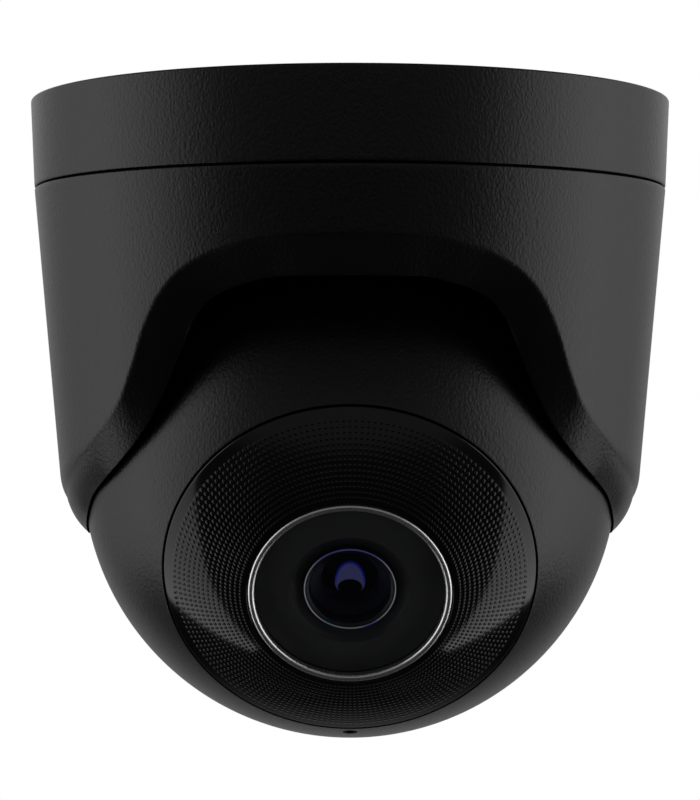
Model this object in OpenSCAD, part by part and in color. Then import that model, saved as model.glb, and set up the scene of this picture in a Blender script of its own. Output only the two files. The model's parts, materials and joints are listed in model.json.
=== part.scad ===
// Turret security camera for a ceiling.
// The origin is the centre of the ceiling face, +Z points up into the ceiling,
// the camera hangs below it and looks along -Y, tilted down.

/* [Base] */
// Diameter of the base ring at the ceiling
base_d = 110; // [109:0.5:114]
// Height of the base ring
base_h = 14.8; // [14.8:0.1:16]
// Radius lost from the ceiling to the seam
base_draft = 0.6; // [0:0.1:0.8]
// Gap of the seam between the base ring and the housing
seam_gap = 0.3; // [0.2:0.1:0.5]
// Thickness of the mounting plate
plate_t = 2; // [1.5:0.5:2.5]

/* [Mounting] */
// Circle of the ceiling screws
screw_pcd = 76; // [66:1:80]
// Number of ceiling screws
screw_count = 3; // [3:1:3]
// Diameter of the ceiling screw holes
screw_hole_d = 4.5; // [3.5:0.5:5]
// Bore of the cable grommet
cable_bore_d = 8; // [6:0.5:9]
// Distance of the cable inlet behind the centre
cable_y = 16; // [15:1:18]

/* [Housing] */
// Radius of the housing at its lower lip
lip_r = 49.7; // [49.5:0.1:50.5]
// Depth of the lip below the ceiling
lip_depth = 67.6; // [67:0.1:68]
// Depth of the bottom edge below the ceiling
edge_depth = 74.9; // [74.5:0.1:75.5]
// Radius of the cavity that the ball goes in through
cavity_r = 47.2; // [47:0.1:47.4]

/* [Arch] */
// Depth of the arch's outer edge at the front
arch_outer_depth = 25.9; // [24:0.1:28]
// Depth of the arch's inner edge at the front
arch_inner_depth = 32.1; // [31.5:0.1:33]

/* [Ball] */
// Radius of the ball
ball_r = 46.2; // [46:0.1:46.2]
// Depth of the ball's centre below the ceiling
ball_depth = 63.3; // [63:0.1:63.5]
// Wall of the ball's shells
ball_wall = 2.6; // [2.4:0.1:2.8]
// How far behind the centre the two shells meet
ball_seam = 10; // [9:0.5:11]
// Gap between the ball and what it turns in
ball_gap = 0.35; // [0.3:0.05:0.4]
// Angle of the lens below the horizontal at rest
tilt_rest = 26.65; // [0:0.05:90]

/* [Window] */
// Radius of the infrared window
window_r = 30; // [29.5:0.1:30]
// Radius of the silver bezel round the lens cover
bezel_r = 16.3; // [16:0.1:16.6]
// Height of the bezel above the ball's centre
bezel_d = 42.3; // [42:0.1:42.4]
// Number of infrared LEDs
led_count = 8; // [4:1:12]

/* [Lens] */
// Radius of the lens barrel's front flange
lens_r = 7.3; // [7:0.1:7.5]
// Radius of the barrel's thread
thread_r = 6; // [6:0.1:6]
// Radius of the clear field in the lens cover
field_r = 9.7; // [9:0.1:10.5]

/* [Microphone] */
// Angle of the microphone hole below the lens axis
mic_angle = 44; // [43.5:0.5:48]
// Diameter of the microphone hole
mic_hole_d = 2.4; // [1.5:0.1:2.6]

/* [Hidden] */
$fn = 96;
eps = 0.01;

// Base and pan bearing, as depths below the ceiling
base_r = base_d / 2;
seam_r = base_r - base_draft;
base_inner_r = 52.4;
ledge_r = 51;
ledge_top = base_h - 2.2;
housing_top = base_h + seam_gap;
spigot_r = 50.6;
spigot_top = ledge_top - 0.2;
pan_ring_r = 52.1;
pan_ring_top = spigot_top - 3.6;
clamp_flange_t = 1.6;
ring_screw_r = 48.9;
ring_screw_count = 6;
lug_angles = [90, 210, 330];

// Ball seat in the housing and in the clamp ring
seat_r = ball_r + ball_gap;
friction_t = 1.5;
friction_r = [27, 31.5];

// Ball's shells
shell_inner_r = ball_r - ball_wall;
shell_screw_r = 37.2;
shell_screw_angles = [45, 135, 225, 315];
chassis_screw_r = 30.5;
chassis_angles = [90, 210, 330];
standoff_angles = [45, 135, 225, 315];
standoff_ring_r = 27;
bush_bore_r = 6.5;
mic_boot_r = 2.4;
mic_boot_d = 41.5;

// Heights along the lens axis, from the ball's centre towards the lens
window_rim_d = sqrt(ball_r * ball_r - window_r * window_r) - 0.1;
window_seat_d = 32.4;
ledge_t = 2;
led_board_d = 28.8;
tube_top_d = bezel_d - 1.3;
cover_d = tube_top_d - 0.4;
sensor_board_d = 13.4;
board_t = 1.6;
chassis_d = 6;
chassis_t = 2.5;
main_board_d = -4;

// Edges of the arch, as [angle from the front, depth below the ceiling]
OUTER_EDGE = [
    [0, arch_outer_depth], [12, arch_outer_depth + 0.4], [22, 27.9], [29, 30.5], [34, 34],
    [38, 38.8], [42, 45.6], [46, 51], [52, 55.3], [62, 59.7], [75, 63.7],
    [90, 67], [105, lip_depth], [180, lip_depth]
];
INNER_EDGE = [
    [0, arch_inner_depth], [13, arch_inner_depth + 0.1], [21, 33.4], [27, 35.4], [31, 38.6],
    [34, 43.2], [38, 49.4], [43, 55.3], [49, 59.7], [57, 63.8], [67, 67.4],
    [77, 71.6], [88, 74.4], [100, edge_depth], [180, edge_depth]
];

// Slope of a curve at knot i, limited so that the curve never overshoots
function secant(k, i) = (k[i + 1][1] - k[i][1]) / (k[i + 1][0] - k[i][0]);
function knot_slope(k, i) =
    i == 0 || i == len(k) - 1 ? 0
    : secant(k, i - 1) * secant(k, i) <= 0 ? 0
    : 2 * secant(k, i - 1) * secant(k, i) / (secant(k, i - 1) + secant(k, i));
function segment_of(k, x, i = 0) = i >= len(k) - 2 || x < k[i + 1][0] ? i : segment_of(k, x, i + 1);
function hermite(k, i, x) =
    let(h = k[i + 1][0] - k[i][0], t = (x - k[i][0]) / h, t2 = t * t, t3 = t2 * t)
    (2 * t3 - 3 * t2 + 1) * k[i][1] + (t3 - 2 * t2 + t) * h * knot_slope(k, i)
    + (3 * t2 - 2 * t3) * k[i + 1][1] + (t3 - t2) * h * knot_slope(k, i + 1);
function edge_depth_at(k, angle) = hermite(k, segment_of(k, abs(angle)), abs(angle));

// Radii of the housing at a depth
function cone_r(depth) = seam_r + (depth - housing_top) * (lip_r - seam_r) / (lip_depth - housing_top);
function sphere_at(r, h) = sqrt(max(0, r * r - h * h));
function inner_r(depth) = depth < ball_depth ? cavity_r : min(cavity_r, sphere_at(seat_r, depth - ball_depth));
function arc(r, a0, a1, n) = [for (i = [0:n]) let(a = a0 + (a1 - a0) * i / n) [r * cos(a), r * sin(a)]];

// Children drawn with +Z along the lens axis, +Y up the picture, and the ball's centre at 0
module lens_frame() {
    translate([0, 0, -ball_depth])
        rotate([90 + tilt_rest, 0, 0])
            children();
}

// A closed ring of the given outline
module ring(outline) {
    rotate_extrude()
        polygon(outline);
}

module tube(r_out, r_in, z0, z1) {
    translate([0, 0, z0])
        difference() {
            cylinder(r = r_out, h = z1 - z0);
            translate([0, 0, -1])
                cylinder(r = r_in, h = z1 - z0 + 2);
        }
}

module disc(r, z0, z1) {
    translate([0, 0, z0])
        cylinder(r = r, h = z1 - z0);
}

module round_at(angles, r) {
    for (a = angles)
        rotate([0, 0, a])
            translate([r, 0, 0])
                rotate([0, 0, -a])
                    children();
}

// A box of the given size, centred on x and y
module block(size, z0) {
    translate([-size[0] / 2, -size[1] / 2, z0])
        cube(size);
}

// A screw with a round head and a hexagon socket, head towards +Z, its seat at 0
module screw(shank_r, length, head_r, head_t, socket_r) {
    difference() {
        union() {
            translate([0, 0, -length])
                cylinder(r = shank_r, h = length + eps);
            cylinder(r = head_r, h = head_t);
        }
        translate([0, 0, head_t * 0.35])
            cylinder(r = socket_r, h = head_t, $fn = 6);
    }
}

// Base, fixed to the ceiling

module base_ring() {
    edge = 0.4;
    lug_w = 12;
    lug_t = 2;
    lug_inner_r = 49;
    lug_depth = 6.2;
    color([0.04, 0.04, 0.045])
        difference() {
            union() {
                ring([
                    [base_inner_r, 0], [base_r - edge, 0], [base_r, -edge],
                    [seam_r + 0.02, -base_h + edge], [seam_r - edge, -base_h],
                    [ledge_r, -base_h], [ledge_r, -ledge_top], [base_inner_r, -ledge_top]
                ]);
                for (a = lug_angles)
                    rotate([0, 0, a])
                        translate([lug_inner_r, -lug_w / 2, -lug_depth])
                            cube([base_inner_r + 0.9 - lug_inner_r, lug_w, lug_t]);
            }
            translate([0, base_inner_r - 4, -lock_depth()])
                rotate([-90, 0, 0])
                    cylinder(r = lock_r() + 0.05, h = 8);
        }
}

// Depth and radius of the locking screw
function lock_depth() = 5.2;
function lock_r() = 1.5;

module mounting_plate() {
    plate_r = base_inner_r - 0.3;
    color([0.62, 0.63, 0.65])
        difference() {
            disc(plate_r, -plate_t, 0);
            for (i = [0:screw_count - 1])
                rotate([0, 0, 90 + 60 + 360 / screw_count * i])
                    translate([screw_pcd / 2, 0, -plate_t - 1])
                        cylinder(d = screw_hole_d, h = plate_t + 2);
            translate([0, cable_y, -plate_t - 1])
                cylinder(r = grommet_seat_r(), h = plate_t + 2);
            // clearance behind the locking screw's point
            translate([-5, plate_r - 1.2, -plate_t - 1])
                cube([10, 4, plate_t + 2]);
        }
}

// Hooks and pan stop, spot welded under the mounting plate
module plate_hooks() {
    hook_w = 8;
    hook_r = [46.8, 48];
    foot_t = 1.2;
    stop_w = 4;
    color([0.62, 0.63, 0.65]) {
        // hooks under the base ring's lugs
        for (a = lug_angles)
            rotate([0, 0, a])
                plate_hook(hook_w, hook_r, foot_t);
        // stop that ends the pan
        translate([-stop_w / 2, -46.4, -spigot_top + 2.2])
            cube([stop_w, 2, spigot_top - 2.2 - plate_t]);
    }
}

// A bent hook: a leg down from the plate, and a foot that turns outwards
module plate_hook(width, leg_r, foot_t) {
    foot_bottom = 8.2;
    translate([leg_r[0], -width / 2, -foot_bottom])
        cube([leg_r[1] - leg_r[0], width, foot_bottom - plate_t]);
    translate([leg_r[0], -width / 2, -foot_bottom])
        cube([51.2 - leg_r[0], width, foot_t]);
}

function grommet_seat_r() = cable_bore_d / 2 + 3;

module cable_grommet() {
    flange_r = grommet_seat_r() + 2;
    flange_t = 1.4;
    color([0.07, 0.07, 0.07])
        translate([0, cable_y, 0])
            ring([
                [cable_bore_d / 2, 0], [grommet_seat_r(), 0], [grommet_seat_r(), -plate_t],
                [flange_r, -plate_t], [flange_r, -plate_t - flange_t + 0.4],
                [flange_r - 0.4, -plate_t - flange_t], [cable_bore_d / 2, -plate_t - flange_t]
            ]);
}

module lock_screw() {
    length = 3.6;
    color([0.3, 0.3, 0.31])
        translate([0, base_inner_r - 1.4, -lock_depth()])
            rotate([-90, 0, 0])
                difference() {
                    cylinder(r = lock_r(), h = length);
                    translate([0, 0, length - 1.4])
                        cylinder(r = 0.8, h = 2, $fn = 6);
                }
}

// Housing, which pans on the base

module housing_shell() {
    seat_angle = asin((edge_depth - ball_depth) / seat_r);
    seat_start = acos(min(1, (cavity_r - 0.75) / seat_r)) + 3;
    seat = arc(seat_r, -seat_start, -seat_angle, 8);
    color([0.04, 0.04, 0.045])
        difference() {
            ring(concat(
                [[spigot_r, -spigot_top], [spigot_r, -housing_top], [seam_r - 0.3, -housing_top]],
                [[seam_r, -housing_top - 0.3], [lip_r, -lip_depth]],
                [[sphere_at(seat_r, edge_depth - ball_depth), -edge_depth]],
                [for (i = [len(seat) - 2:-1:0]) [seat[i][0], seat[i][1] - ball_depth]],
                [[cavity_r, -ball_depth - 0.6], [cavity_r, -spigot_top]]
            ));
            arch_cutter();
            round_at([for (i = [0:ring_screw_count - 1]) 30 + 60 * i], ring_screw_r)
                translate([0, 0, -spigot_top - 9])
                    cylinder(r = 1.05, h = 10);
        }
}

// Everything below the bevel that runs from the outer to the inner edge, all the way round
module arch_cutter() {
    step = 3;
    count = 360 / step;
    reach_in = 42;
    reach_out = 57;
    bottom = -90;
    function bevel_z(a, r) =
        let(zo = edge_depth_at(OUTER_EDGE, a), zi = edge_depth_at(INNER_EDGE, a))
        let(ro = cone_r(zo), ri = inner_r(zi))
        -(zi + (zo - zi) * (r - ri) / (ro - ri)) - eps;
    function spot(a, r, z) = [r * sin(a), -r * cos(a), z];
    points = [
        for (i = [0:count - 1])
            let(a = -180 + step * i)
            for (p = [
                spot(a, reach_in, bevel_z(a, reach_in)), spot(a, reach_out, bevel_z(a, reach_out)),
                spot(a, reach_out, bottom), spot(a, reach_in, bottom)
            ]) p
    ];
    faces = [
        for (i = [0:count - 1])
            for (j = [0:3])
                let(n = (i + 1) % count, k = (j + 1) % 4)
                for (f = [[4 * i + j, 4 * n + j, 4 * n + k], [4 * i + j, 4 * n + k, 4 * i + k]]) f
    ];
    polyhedron(points, faces, convexity = 6);
}

// The cone that presses the ball down, hung from the housing's top
module clamp_ring() {
    skirt_r = 46.9;
    skirt_depth = spigot_top + 0.9;
    web_t = 1.6;
    seat_out = seat_r + friction_t;
    seat_0 = acos(friction_r[1] / seat_out);
    seat_1 = acos(friction_r[0] / seat_out);
    seat = arc(seat_out, seat_0, seat_1, 6);
    color([0.09, 0.09, 0.1])
        difference() {
            ring(concat(
                [[skirt_r - 0.9, -spigot_top + clamp_flange_t], [spigot_r, -spigot_top + clamp_flange_t]],
                [[spigot_r, -spigot_top], [skirt_r, -spigot_top], [skirt_r, -skirt_depth]],
                [for (p = seat) [p[0], p[1] - ball_depth]],
                [[friction_r[0], seat[6][1] - ball_depth + web_t]]
            ));
            round_at([for (i = [0:ring_screw_count - 1]) 30 + 60 * i], ring_screw_r)
                translate([0, 0, -spigot_top - 1])
                    cylinder(r = 1.1, h = 4);
        }
}

module friction_ring() {
    seat_out = seat_r + friction_t;
    outer = arc(seat_out, acos(friction_r[1] / seat_out), acos(friction_r[0] / seat_out), 6);
    inner = arc(seat_r, acos(friction_r[1] / seat_r), acos(friction_r[0] / seat_r), 6);
    color([0.16, 0.16, 0.17])
        translate([0, 0, -ball_depth])
            ring(concat(outer, [for (i = [6:-1:0]) inner[i]]));
}

module pan_ring() {
    inner = 47.2;
    clamp_top = spigot_top - clamp_flange_t;
    tab_w = 4;
    color([0.8, 0.8, 0.78])
        difference() {
            union() {
                ring([
                    [inner, -pan_ring_top], [pan_ring_r, -pan_ring_top], [pan_ring_r, -spigot_top],
                    [spigot_r + 0.2, -spigot_top], [spigot_r + 0.2, -clamp_top], [inner, -clamp_top]
                ]);
                // tab that meets the stop
                translate([-tab_w / 2, inner - 3, -clamp_top])
                    cube([tab_w, 3.6, clamp_top - pan_ring_top]);
            }
            round_at([for (i = [0:ring_screw_count - 1]) 30 + 60 * i], ring_screw_r) {
                translate([0, 0, -clamp_top - 1])
                    cylinder(r = 1.1, h = 5);
                translate([0, 0, -pan_ring_top - 1.2])
                    cylinder(r1 = 1.1, r2 = 2.3, h = 1.2);
            }
        }
}

module pan_ring_screws() {
    length = 9;
    color([0.55, 0.55, 0.57])
        round_at([for (i = [0:ring_screw_count - 1]) 30 + 60 * i], ring_screw_r)
            translate([0, 0, -pan_ring_top])
                difference() {
                    union() {
                        translate([0, 0, -length])
                            cylinder(r = 1, h = length - 0.5);
                        translate([0, 0, -1.2])
                            cylinder(r1 = 1, r2 = 2.1, h = 1.15);
                    }
                    translate([0, 0, -0.7])
                        cylinder(r = 0.75, h = 1, $fn = 6);
                }
}

// Swivel at the back of the ball, where the cable leaves it

module cable_bush() {
    flange_r = 9.6;
    color([0.1, 0.1, 0.1])
        lens_frame()
            difference() {
                union() {
                    disc(flange_r, -43.8, -41.8);
                    disc(bush_bore_r - 0.05, -42, -31.2);
                }
                disc(3.2, -45, -30);
                tube(bush_bore_r + 1, bush_bore_r - 0.8, -32.7, -31.9);
            }
}

module bush_clip() {
    color([0.6, 0.6, 0.62])
        lens_frame()
            difference() {
                tube(8.6, bush_bore_r - 0.8, -32.65, -31.95);
                translate([-1.5, -10, -34])
                    cube([3, 10, 4]);
            }
}

// Ball, which tilts and rolls

module front_shell() {
    opening_r = window_r + 0.2;
    mic_boss_r = 3.4;
    color([0.04, 0.04, 0.045])
        lens_frame()
            difference() {
                union() {
                    difference() {
                        sphere(r = ball_r);
                        sphere(r = shell_inner_r);
                    }
                    intersection() {
                        sphere(r = shell_inner_r + 1);
                        union() {
                            tube(33, window_r - 3.5, window_seat_d - ledge_t, window_seat_d);
                            round_at(chassis_angles, chassis_screw_r)
                                disc(3, chassis_d + chassis_t, window_seat_d - 1);
                            round_at(shell_screw_angles, shell_screw_r)
                                disc(3.6, -ball_seam, 24);
                            rotate([mic_angle, 0, 0])
                                disc(mic_boss_r, mic_boot_d, shell_inner_r + 1);
                        }
                    }
                }
                // rear half, and a fine groove along the seam
                disc(ball_r + 2, -ball_r - 2, -ball_seam);
                translate([0, 0, -ball_seam])
                    tube(ball_r + 2, sphere_at(ball_r, ball_seam) - 0.3, -0.1, 0.15);
                disc(opening_r, window_seat_d, ball_r + 1);
                rotate([mic_angle, 0, 0]) {
                    disc(mic_hole_d / 2, 38, ball_r + 2);
                    disc(mic_boot_r + 0.1, 36, mic_boot_d);
                }
                round_at(shell_screw_angles, shell_screw_r)
                    disc(1.05, -ball_seam - 1, 4);
                round_at(chassis_angles, chassis_screw_r)
                    disc(1.05, chassis_d, 20);
            }
}

module rear_shell() {
    joint_r = sphere_at(shell_inner_r, ball_seam);
    boss_r = 11;
    color([0.04, 0.04, 0.045])
        lens_frame()
            difference() {
                union() {
                    difference() {
                        sphere(r = ball_r);
                        sphere(r = shell_inner_r);
                        disc(ball_r + 2, -ball_seam, ball_r + 2);
                    }
                    tube(joint_r + 0.6, joint_r - 1.8, -ball_seam - 3, -ball_seam);
                    tube(joint_r - 0.2, joint_r - 1.8, -ball_seam - 3, -ball_seam + 3);
                    intersection() {
                        sphere(r = shell_inner_r + 1);
                        union() {
                            disc(boss_r, -shell_inner_r - 1, -33);
                            round_at(shell_screw_angles, shell_screw_r)
                                disc(3.6, -30, -ball_seam);
                        }
                    }
                }
                disc(bush_bore_r, -ball_r - 1, -30);
                disc(10, -ball_r - 1, -41.5);
                round_at(shell_screw_angles, shell_screw_r) {
                    disc(1.2, -30, -ball_seam + 4);
                    disc(2.5, -36, -22);
                }
                // room for the front shell's bosses beside the spigot
                round_at(shell_screw_angles, shell_screw_r)
                    disc(3.8, -ball_seam, -ball_seam + 4);
                tube(joint_r + 1.5, joint_r + 0.7, -ball_seam - 0.8, -ball_seam + 1);
            }
}

module shell_seal() {
    joint_r = sphere_at(shell_inner_r, ball_seam);
    color([0.1, 0.1, 0.1])
        lens_frame()
            rotate_extrude()
                translate([joint_r + 1.1, -ball_seam - 0.4])
                    circle(r = 0.39, $fn = 32);
}

module shell_screws() {
    color([0.3, 0.3, 0.31])
        lens_frame()
            round_at(shell_screw_angles, shell_screw_r)
                translate([0, 0, -22])
                    rotate([180, 0, 0])
                        screw(1, 22, 2.3, 1.8, 1);
}

// The window: a low dome from the ball's rim up to the bezel
module ir_window() {
    inner = bezel_r + 0.1;
    t = 2;
    bow = 0.55;
    n = 10;
    function dome(s) = [
        window_r + (inner - window_r) * s,
        window_rim_d + (bezel_d - 0.15 - window_rim_d) * s + 4 * bow * s * (1 - s)
    ];
    top = [for (i = [0:n]) dome(i / n)];
    under = [for (i = [n:-1:0]) let(p = dome(i / n)) [max(inner, p[0] - t * 0.47), p[1] - t]];
    color([0.03, 0.03, 0.035])
        lens_frame()
            ring(concat(
                top, under, [[window_r - 3, window_seat_d + 0.6], [window_r, window_seat_d + 0.6]]
            ));
}

module window_seal() {
    color([0.1, 0.1, 0.1])
        lens_frame()
            tube(window_r, window_r - 3, window_seat_d, window_seat_d + 0.6);
}

module led_board() {
    color([0.08, 0.2, 0.1])
        lens_frame()
            difference() {
                tube(26, 16.8, led_board_d, led_board_d + board_t);
                rotate([mic_angle, 0, 0])
                    disc(mic_boot_r + 0.8, 30, 44);
            }
}

module ir_leds() {
    color([0.75, 0.72, 0.6])
        lens_frame()
            round_at([for (i = [0:led_count - 1]) 360 / led_count * (i + 0.5)], 21.6) {
                block([3.4, 3.4, 0.9], led_board_d + board_t);
                translate([0, 0, led_board_d + board_t + 0.9])
                    intersection() {
                        disc(1.4, -0.05, 2);
                        translate([0, 0, -0.1])
                            sphere(r = 1.4);
                    }
            }
}

module lens_bezel() {
    inner = bezel_r - 1.1;
    color([0.75, 0.75, 0.78])
        lens_frame()
            ring([
                [inner, tube_top_d], [bezel_r, tube_top_d], [bezel_r, bezel_d - 0.35],
                [bezel_r - 0.12, bezel_d - 0.12], [bezel_r - 0.35, bezel_d],
                [inner + 0.35, bezel_d], [inner + 0.12, bezel_d - 0.12], [inner, bezel_d - 0.35]
            ]);
}

module lens_cover() {
    color([0.02, 0.02, 0.03])
        lens_frame()
            disc(bezel_r - 1.15, cover_d, cover_d + 1);
}

// The black tube that keeps the LEDs' light from the lens, and carries the cover
module lens_tube() {
    wall_r = 15.2;
    color([0.05, 0.05, 0.05])
        lens_frame()
            ring([
                [14, sensor_board_d + board_t], [wall_r, sensor_board_d + board_t],
                [wall_r, led_board_d - 1.5], [19, led_board_d - 1.5], [19, led_board_d],
                [wall_r, led_board_d], [wall_r, tube_top_d - 4], [bezel_r, tube_top_d - 3],
                [bezel_r, tube_top_d], [wall_r, tube_top_d], [wall_r, cover_d], [14, cover_d]
            ]);
}

module lens_baffle() {
    foot_d = cover_d - 3.4;
    color([0.03, 0.03, 0.03])
        lens_frame()
            ring([
                [lens_r + 0.2, foot_d], [14, foot_d], [14, cover_d], [field_r, cover_d],
                [field_r - 0.6, cover_d - 0.8], [lens_r + 0.2, cover_d - 1.5]
            ]);
}

module lens_barrel() {
    front = cover_d - 0.3;
    color([0.06, 0.06, 0.065])
        lens_frame()
            difference() {
                union() {
                    disc(lens_r, front - 3.2, front);
                    disc(thread_r, 23, front - 3);
                }
                translate([0, 0, front - 0.5])
                    cylinder(r1 = lens_r - 0.7, r2 = lens_r - 0.2, h = 0.6);
                disc(lens_r - 0.9, front - 2.6, front);
                disc(4.6, 22, front);
            }
}

// A round lens that bulges at both ends, between two points on the axis
module lens(r, front_r, front_d, back_r, back_d) {
    n = 12;
    function bulge(radius, x) = radius - sqrt(radius * radius - x * x);
    ring(concat(
        [for (i = [0:n]) let(x = r * i / n) [x, front_d - bulge(front_r, x)]],
        [for (i = [n:-1:0]) let(x = r * i / n) [x, back_d + bulge(back_r, x)]]
    ));
}

module front_element() {
    apex = cover_d - 0.25;
    centre_t = 2.8;
    color([0.2, 0.22, 0.35, 0.6])
        lens_frame()
            lens(lens_r - 0.95, 15, apex, 60, apex - centre_t);
}

module inner_elements() {
    color([0.2, 0.22, 0.3, 0.6])
        lens_frame() {
            lens(4.55, 9, 35.6, 14, 32.6);
            lens(4.55, 10, 28.6, 12, 25.2);
        }
}

module aperture_stop() {
    color([0.02, 0.02, 0.02])
        lens_frame()
            tube(4.55, 1.8, 30.2, 30.6);
}

module lens_holder() {
    base_top = sensor_board_d + board_t + 2;
    color([0.05, 0.05, 0.05])
        lens_frame()
            difference() {
                union() {
                    block([18, 18, base_top - sensor_board_d - board_t], sensor_board_d + board_t);
                    disc(8.4, base_top - 0.1, 31);
                }
                disc(thread_r + 0.05, 21, 32);
                disc(4.6, 19, 22);
                block([11, 11, 4.6], sensor_board_d + board_t - 0.5);
            }
}

module ir_filter() {
    color([0.3, 0.5, 0.5, 0.5])
        lens_frame()
            block([10.6, 10.6, 0.6], 18.4);
}

module image_sensor() {
    color([0.25, 0.3, 0.35])
        lens_frame()
            block([8.4, 6.6, 1.4], sensor_board_d + board_t);
}

module sensor_board() {
    color([0.08, 0.2, 0.1])
        lens_frame()
            difference() {
                disc(21, sensor_board_d, sensor_board_d + board_t);
                round_at([30, 150, 270], 17.9)
                    disc(1.05, sensor_board_d - 1, sensor_board_d + board_t + 1);
            }
}

module sensor_screws() {
    color([0.6, 0.6, 0.62])
        lens_frame()
            round_at([30, 150, 270], 17.9)
                translate([0, 0, sensor_board_d + board_t])
                    screw(1, 5, 1.9, 1.2, 0.8);
}

module chassis() {
    color([0.6, 0.61, 0.63])
        lens_frame()
            difference() {
                union() {
                    disc(33.2, chassis_d, chassis_d + chassis_t);
                    round_at([30, 150, 270], 17.9)
                        disc(2.4, chassis_d, sensor_board_d);
                    block([16, 16, chassis_d - 0.9], 0.9);
                }
                round_at([30, 150, 270], 17.9)
                    disc(1.05, chassis_d + 1.5, sensor_board_d + 1);
                round_at(chassis_angles, chassis_screw_r)
                    disc(1.1, chassis_d - 1, chassis_d + chassis_t + 1);
                round_at(shell_screw_angles, shell_screw_r)
                    disc(4.2, chassis_d - 1, chassis_d + chassis_t + 1);
                round_at(standoff_angles, standoff_ring_r)
                    disc(1.05, chassis_d - 1, chassis_d + 1.8);
            }
}

module chassis_screws() {
    color([0.6, 0.6, 0.62])
        lens_frame()
            round_at(chassis_angles, chassis_screw_r)
                translate([0, 0, chassis_d])
                    rotate([180, 0, 0])
                        screw(1, 9, 2, 1.3, 0.8);
}

module thermal_pad() {
    color([0.5, 0.55, 0.7])
        lens_frame()
            block([14, 14, 0.6], 0.3);
}

module main_board() {
    color([0.08, 0.2, 0.1])
        lens_frame()
            difference() {
                disc(31.5, main_board_d, main_board_d + board_t);
                round_at(standoff_angles, standoff_ring_r)
                    disc(1.05, main_board_d - 1, main_board_d + board_t + 1);
            }
}

module standoffs() {
    color([0.75, 0.68, 0.4])
        lens_frame()
            round_at(standoff_angles, standoff_ring_r)
                translate([0, 0, main_board_d + board_t])
                    difference() {
                        cylinder(r = 2.4, h = chassis_d - main_board_d - board_t, $fn = 6);
                        translate([0, 0, -1])
                            cylinder(r = 1.05, h = 7);
                    }
}

module board_screws() {
    color([0.6, 0.6, 0.62])
        lens_frame()
            round_at(standoff_angles, standoff_ring_r)
                translate([0, 0, main_board_d])
                    rotate([180, 0, 0])
                        screw(1, 6, 2, 1.3, 0.8);
}

module soc_shield() {
    color([0.7, 0.7, 0.72])
        lens_frame()
            difference() {
                block([20, 20, 2.7], main_board_d + board_t);
                block([19.2, 19.2, 2.3], main_board_d + board_t - 0.1);
            }
}

module network_transformer() {
    color([0.05, 0.05, 0.05])
        lens_frame()
            translate([14, 10, 0])
                block([12.7, 9.5, 5.6], main_board_d - 5.6);
}

module capacitors() {
    color([0.35, 0.35, 0.5])
        lens_frame()
            for (x = [-18, -10])
                translate([x, 12, 0])
                    disc(3.1, main_board_d - 7, main_board_d);
}

module cable_connector() {
    color([0.85, 0.84, 0.78])
        lens_frame()
            translate([6, -10, 0])
                difference() {
                    block([14, 5.8, 6.4], main_board_d - 6.4);
                    block([12.4, 4.2, 5], main_board_d - 7);
                }
}

module card_socket() {
    color([0.68, 0.68, 0.7])
        lens_frame()
            translate([-10.5, -11, 0])
                difference() {
                    block([11.6, 14.4, 1.6], main_board_d - 1.6);
                    translate([0, -1, 0])
                        block([10.6, 14.4, 0.9], main_board_d - 1.3);
                }
}

// The ribbon between the sensor board and the main board, past the chassis's edge
module ribbon() {
    t = 0.3;
    half = 5;
    top = sensor_board_d;
    bottom = main_board_d + board_t;
    out = 35;
    side_angle = -30;
    color([0.75, 0.5, 0.2])
        lens_frame()
            rotate([90, 0, 90 + side_angle])
                translate([0, 0, -half])
                    linear_extrude(height = 2 * half)
                        polygon([
                            [-15, top - t], [-out, top - t], [-out - t, top - t],
                            [-out - t, bottom], [-29.5, bottom], [-29.5, bottom + t],
                            [-out, bottom + t], [-out, top - 2 * t], [-15, top - 2 * t]
                        ]);
}

module mic_capsule() {
    color([0.65, 0.65, 0.68])
        lens_frame()
            rotate([mic_angle, 0, 0])
                disc(mic_boot_r - 0.4, mic_boot_d - 3.9, mic_boot_d - 1.5);
}

module mic_boot() {
    color([0.1, 0.1, 0.1])
        lens_frame()
            rotate([mic_angle, 0, 0])
                tube(mic_boot_r, 1, mic_boot_d - 1.5, mic_boot_d);
}

base_ring();
mounting_plate();
plate_hooks();
cable_grommet();
lock_screw();
housing_shell();
clamp_ring();
friction_ring();
pan_ring();
pan_ring_screws();
cable_bush();
bush_clip();
front_shell();
rear_shell();
shell_seal();
shell_screws();
ir_window();
window_seal();
led_board();
ir_leds();
lens_bezel();
lens_cover();
lens_tube();
lens_baffle();
lens_barrel();
front_element();
inner_elements();
aperture_stop();
lens_holder();
ir_filter();
image_sensor();
sensor_board();
sensor_screws();
chassis();
chassis_screws();
thermal_pad();
main_board();
standoffs();
board_screws();
soc_shield();
network_transformer();
capacitors();
cable_connector();
card_socket();
ribbon();
mic_capsule();
mic_boot();
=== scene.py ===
"""Looks of a ceiling turret camera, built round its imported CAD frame.

Lengths in the shape code are millimetres, and those of the studio are metres.
"""

import json
import math

import bmesh
import bpy
from mathutils import Matrix, Vector


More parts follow.
